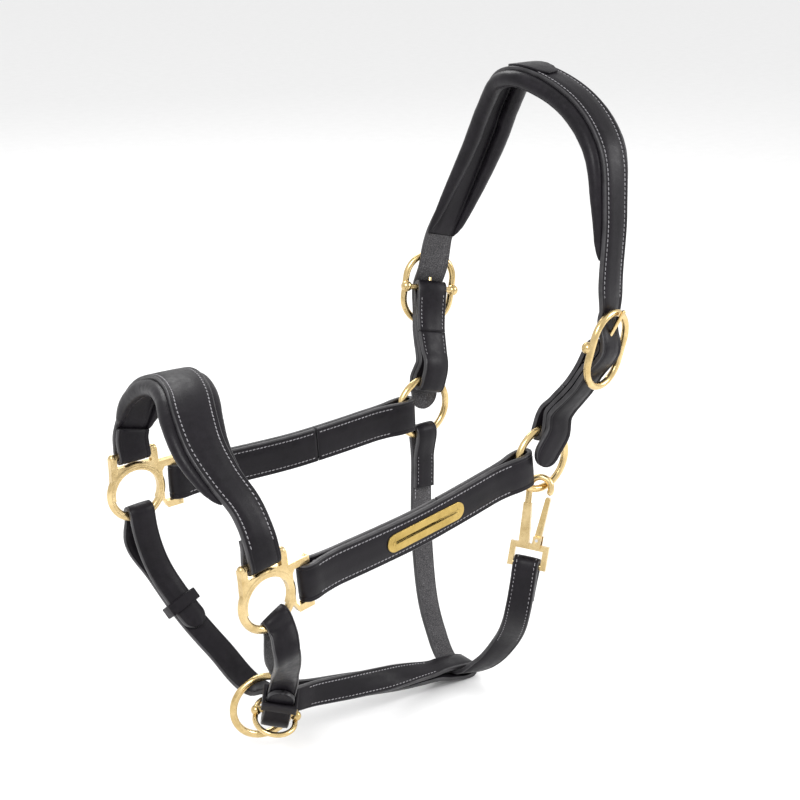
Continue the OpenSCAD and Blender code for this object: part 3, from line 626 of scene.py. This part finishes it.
def place_camera():
    """The photograph's view, aimed at a point set from the near ring."""
    data = bpy.data.cameras.new("camera")
    cam = bpy.data.objects.new("camera", data)
    bpy.context.scene.collection.objects.link(cam)
    ring_low, ring_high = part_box("near_ring")
    ring = (ring_low + ring_high) / 2
    aim = Vector((ring.x - 0.080, 0.0, ring.z + 0.0445))
    back = Vector((math.sin(AZIMUTH) * math.cos(ELEVATION),
                   -math.cos(AZIMUTH) * math.cos(ELEVATION), math.sin(ELEVATION)))
    cam.location = aim + back * DISTANCE
    cam.rotation_mode = "QUATERNION"
    cam.rotation_quaternion = (-back).to_track_quat("-Z", "Y")
    data.sensor_width, data.lens = 36.0, FOCAL_LENGTH
    data.clip_start, data.clip_end = 0.05, 50
    bpy.context.scene.camera = cam


place_camera()

# ---------------------------------------------------------------- the straps
INSIDE_CROWN = np.array([0.0, 0.0, -0.15])      # a point under the poll, inside the headpiece

head = read_strap("headpiece_strap", np.array(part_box("near_ring")[0]))
head = face_away(head, INSIDE_CROWN, len(head) // 2)
head_fine = finer(head, tip=13 * MM)
padding_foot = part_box("crown_padding")[0].z
headpiece = strap_piece("headpiece_strap_leather", "headpiece_strap", head_fine, SINGLE,
                        marks=(CREASE, SEAM), tips=(12 * MM, 12 * MM))


def local(rows, points):
    """For each point: its row, and its x and y in that row's section."""
    gap = points[:, None, :] - rows.c[None]
    i = np.argmin(np.linalg.norm(gap, axis=2) + 4 * np.abs((gap * rows.d[None]).sum(2)), axis=1)
    g = points - rows.c[i]
    return i, (g * rows.s[i]).sum(1), (g * rows.n[i]).sum(1)


def padding_sizes(rows, node):
    """Half width and depth of the padding at each row of the strap above it."""
    pts = np.array([v.co for v in frame["nodes"][node].data.vertices])
    i, x, y = local(rows, pts)
    wide, deep = np.zeros(len(rows)), np.zeros(len(rows))
    for k in range(len(rows)):
        on = i == k
        if on.sum() >= 6:
            wide[k], deep[k] = np.abs(x[on]).max(), -y[on].min()
    return wide, deep


PADDING_RUN_OUT = 9 * MM             # the lining goes on this far past the CAD padding
PADDING_TAPER = 14 * MM              # and its rolls grow to full size over this length
ROLL_DROP = 0.866                    # a roll's middle below the strap, in radii
MEMBRANE = 2.2 * MM                  # thickness of the lining between the rolls


def padding_piece(name, node, rows):
    """A lining with a stuffed roll along each edge of the strap above it, tapering to its ends."""
    wide, deep = padding_sizes(rows, node)
    on = np.nonzero(wide > 0)[0]
    first, last = on[0], on[-1]
    fine = finer(rows, PADDING_STEP)
    at = fine.at / fine.at[-1]
    share = rows.at / rows.at[-1]
    w = np.interp(at, share[on], wide[on])
    d = np.interp(at, share[on], deep[on])
    run = (fine.at[-1] * (at - share[first]), fine.at[-1] * (share[last] - at))
    keep = np.nonzero((run[0] > -PADDING_RUN_OUT) & (run[1] > -PADDING_RUN_OUT))[0]
    verts, ring = [], 0
    for i in keep:
        t = fine.t[i]
        top = t / 2 + 0.15 * MM
        r = max(0.6 * MM, (d[i] - top) / (1 + ROLL_DROP))
        c = w[i] - r
        inside = min(run[0][i], run[1][i]) + PADDING_RUN_OUT
        fade = min(1.0, max(0.0, inside / PADDING_TAPER))
        fade = math.sin(fade * math.pi / 2) ** 0.8
        r = max(0.35 * MM, r * fade)
        c = min(c, fine.w[i] / 2 - 0.4 * MM + r * 0.15) if fade < 1 else c
        s = fine.at[i]
        for side in (1, -1):
            roll = []
            for a in range(118, -226, -14):
                q = math.radians(a)
                out = Vector((side * math.cos(q), math.sin(q), 0))
                wrinkle = noise.noise(Vector((s * 95 + 0.4 * a / 50, side * 3.1 + a / 75, 1.7)))
                crinkle = noise.noise(Vector((s * 260 + a / 60, side * 9.1, a / 95)))
                inward = 0.6 + max(0, -math.cos(q))
                swell = r * (1 + (0.045 * wrinkle + 0.030 * crinkle) * fade * inward)
                roll.append((side * c + swell * out.x, -(top + ROLL_DROP * r) + swell * out.y))
            if side == 1:
                right = roll
            else:
                left = roll[::-1]
        web = top + MEMBRANE * min(1.0, fade + 0.1)
        inner = min(abs(right[-1][0]), fine.w[i] * 0.4)
        mid = [(inner * f, -web + 0.5 * MM * (1 - abs(f)) * fade) for f in (0.7, 0.35, 0, -0.35, -0.7)]
        section = right + mid + left + [(-(c - r * 0.45), -top), (-c * 0.3, -top), (c * 0.3, -top),
                                        (c - r * 0.45, -top)]
        ring = len(section)
        for x, y in section:
            verts.append(fine.c[i] + fine.s[i] * x + fine.n[i] * y)
    faces = []
    for i in range(len(keep) - 1):
        for j in range(ring):
            k = (j + 1) % ring
            faces.append((i * ring + j, i * ring + k, (i + 1) * ring + k, (i + 1) * ring + j))
    faces += [tuple(range(ring)), tuple(range((len(keep) - 1) * ring, len(keep) * ring))]
    obj = new_object(name, verts, faces, [SOFT])
    outward_faces(obj)
    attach(obj, BODY[node])
    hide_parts(node)
    return obj


padding_piece("crown_padding_leather", "crown_padding", head)
seam("crown_stitching", headpiece, head_fine, WIDE_INSET, WIDE_SINK,
     where=lambda p: p[2] > padding_foot - 12 * MM)

# upper cheek straps and cheekpieces
for side in ("near", "far"):
    ring_c = centre_of(side + "_ring")
    n = side + "_upper_cheek_strap"
    rows = finer(read_strap(n, ring_c))
    piece = strap_piece(n + "_leather", n, rows, GRAIN)
    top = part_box(n)[1].z
    seam(side + "_upper_cheek_stitching", piece, rows, NARROW_INSET, NARROW_SINK, BOTH_FACES,
         where=lambda p: ring_c[2] + 38 * MM < p[2] < top - 12 * MM and abs(p[1]) > abs(ring_c[1]))

    n = side + "_cheekpiece"
    rows = finer(read_strap(n, centre_of(side + "_front_fitting")))
    piece = strap_piece(n + "_leather", n, rows, GRAIN, marks=(CREASE, SEAM))
    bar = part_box(n)[0].x
    seam(side + "_cheekpiece_stitching", piece, rows, WIDE_INSET, WIDE_SINK, BOTH_FACES,
         where=lambda p: bar + 15 * MM < p[0] < ring_c[0] - 36 * MM)

nose = read_strap("noseband_strap", centre_of("near_front_fitting"))
nose = face_away(nose, centre_of("noseband_strap") - np.array([0, 0, 0.05]), len(nose) // 2)
nose_fine = finer(nose)
nose_strap = strap_piece("noseband_strap_leather", "noseband_strap", nose_fine, SINGLE,
                         marks=(CREASE, SEAM))
# the strap's ends fold back under it; the padding follows only the stretch between them
outer = [i for i in range(len(nose)) if 0.12 < nose.at[i] / nose.at[-1] < 0.88]
padding_piece("noseband_padding_leather", "noseband_padding", nose.part(outer))
seam("noseband_stitching", nose_strap, nose_fine, WIDE_INSET, WIDE_SINK,
     start=nose_fine.at[-1] * 0.13, stop=nose_fine.at[-1] * 0.87)

far_chin = finer(read_strap("far_chin_strap", centre_of("far_chin_keeper")), tip=12 * MM)
strap_piece("far_chin_strap_leather", "far_chin_strap", far_chin, GRAIN, tips=(10 * MM, 10 * MM))
near_chin = finer(read_strap("near_chin_strap", centre_of("chin_buckle_frame")))
near_chin = face_away(near_chin, centre_of("near_front_fitting") + np.array([0, 0.06, -0.05]),
                      len(near_chin) // 2)
strap_piece("near_chin_strap_leather", "near_chin_strap", near_chin, SINGLE)

throat = finer(read_strap("throat_strap", centre_of("far_ring")))
throat = face_away(throat, centre_of("throat_strap") + np.array([0, 0, 0.04]), len(throat) // 2)
throat_piece = strap_piece("throat_strap_leather", "throat_strap", throat, SINGLE)
link = finer(read_strap("connecting_strap", centre_of("connecting_strap")))
link_piece = strap_piece("connecting_strap_leather", "connecting_strap", link, GRAIN)
seam("throat_stitching", throat_piece, throat, NARROW_INSET, NARROW_SINK, BOTH_FACES,
     where=lambda p: (-0.425 if p[1] < 0 else -0.35) < p[2] < -0.312)
seam("link_stitching", link_piece, link, NARROW_INSET, NARROW_SINK, BOTH_FACES,
     where=lambda p: -0.215 < p[0] < -0.09)


# ---------------------------------------------------------------- keepers and patch
def softened(name, node, mat, bevel):
    """The CAD piece with rounded edges."""
    bm = bmesh.new()
    bm.from_mesh(frame["nodes"][node].data)
    bmesh.ops.remove_doubles(bm, verts=bm.verts, dist=WELD_GAP)
    bmesh.ops.dissolve_limit(bm, angle_limit=math.radians(4), verts=bm.verts, edges=bm.edges)
    edges = [e for e in bm.edges if len(e.link_faces) == 2 and e.calc_face_angle(0) > math.radians(35)]
    bmesh.ops.bevel(bm, geom=edges, offset=bevel, segments=4, profile=0.5, affect="EDGES",
                    clamp_overlap=True)
    bmesh.ops.triangulate(bm, faces=[f for f in bm.faces if len(f.verts) > 4])
    bmesh.ops.recalc_face_normals(bm, faces=bm.faces)
    mesh = bpy.data.meshes.new(name)
    bm.to_mesh(mesh)
    bm.free()
    mesh.materials.append(mat)
    mesh.polygons.foreach_set("use_smooth", np.full(len(mesh.polygons), True))
    obj = bpy.data.objects.new(name, mesh)
    bpy.context.scene.collection.objects.link(obj)
    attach(obj, BODY[node])
    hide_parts(node)
    return obj


for n in ("far_chin_keeper", "near_chin_keeper"):
    softened(n + "_leather", n, BLACK, 0.9 * MM)
softened("poll_patch_leather", "poll_patch", BLACK, 0.5 * MM)

# ---------------------------------------------------------------- brass and steel from the frame
EDGE_WIDTH = {"nameplate": 0.35 * MM, "snap_body": 1.0 * MM}
OTHER_EDGE_WIDTH = 0.7 * MM

for n, obj in frame["nodes"].items():
    if obj.hide_render:
        continue
    mat = BRASS
    if "fitting" in n or n == "snap_body":
        mat = BRASS_CAST
    elif n in ("nameplate", "nameplate_rivets"):
        mat = BRASS_PLATE
    elif n in ("gate_pin", "gate_spring"):
        mat = STEEL
    obj.data.materials.clear()
    obj.data.materials.append(mat)
    if "fitting" in n or n in ("nameplate", "snap_body", "snap_gate"):
        weld = obj.modifiers.new("weld", "WELD")
        weld.merge_threshold = WELD_GAP
        soft = obj.modifiers.new("soft edges", "BEVEL")
        soft.width = EDGE_WIDTH.get(n, OTHER_EDGE_WIDTH)
        soft.segments = 3
        soft.limit_method = "ANGLE"
        soft.angle_limit = math.radians(50)
        soft.harden_normals = False
        even = obj.modifiers.new("even shading", "WEIGHTED_NORMAL")
        even.keep_sharp = False
        obj.data.polygons.foreach_set("use_smooth", np.full(len(obj.data.polygons), True))


# ---------------------------------------------------------------- floor, light
FLOOR_HALF = 8.0
FLOOR_GAP = 0.5 * MM                 # below the lowest point of the headcollar


def floor_material():
    """Plain pale floor."""
    m, nt, bsdf = material("floor")
    where = object_space(nt)
    fine = noise_tex(nt, where, 40.0, 3.0, 0.5)
    nt.links.new(ramp(nt, fine, [(0.3, grey(0.86)), (0.7, grey(0.88))]), bsdf.inputs["Base Color"])
    bsdf.inputs["Roughness"].default_value = 0.9
    bsdf.inputs["Specular IOR Level"].default_value = 0.1
    return m


floor_corners = [(x * FLOOR_HALF, y * FLOOR_HALF, 0) for x, y in ((-1, -1), (1, -1), (1, 1), (-1, 1))]
floor = new_object("floor", floor_corners, [(0, 1, 2, 3)], [floor_material()])
floor.location = (0, 0, CAD_LOW.z - FLOOR_GAP)

world = bpy.data.worlds.new("studio")
bpy.context.scene.world = world
world.use_nodes = True
world.node_tree.nodes["Background"].inputs["Color"].default_value = (1.0, 1.0, 1.0, 1)
world.node_tree.nodes["Background"].inputs["Strength"].default_value = 0.97


def area(name, place, aim, size, power):
    """A round soft light at place, pointing at aim."""
    data = bpy.data.lights.new(name, "AREA")
    data.shape, data.size, data.energy = "DISK", size, power
    obj = bpy.data.objects.new(name, data)
    bpy.context.scene.collection.objects.link(obj)
    obj.location = place
    obj.rotation_mode = "QUATERNION"
    obj.rotation_quaternion = (Vector(aim) - Vector(place)).to_track_quat("-Z", "Y")


MIDDLE = (CAD_LOW + CAD_HIGH) / 2
area("key", MIDDLE + Vector((-1.3, -0.9, 1.5)), MIDDLE, 0.9, 26)
area("side", MIDDLE + Vector((1.2, -0.9, 0.7)), MIDDLE, 0.7, 12)
area("back", MIDDLE + Vector((0.5, 1.5, 1.4)), MIDDLE, 0.9, 14)

bpy.context.scene.view_settings.view_transform = "Standard"
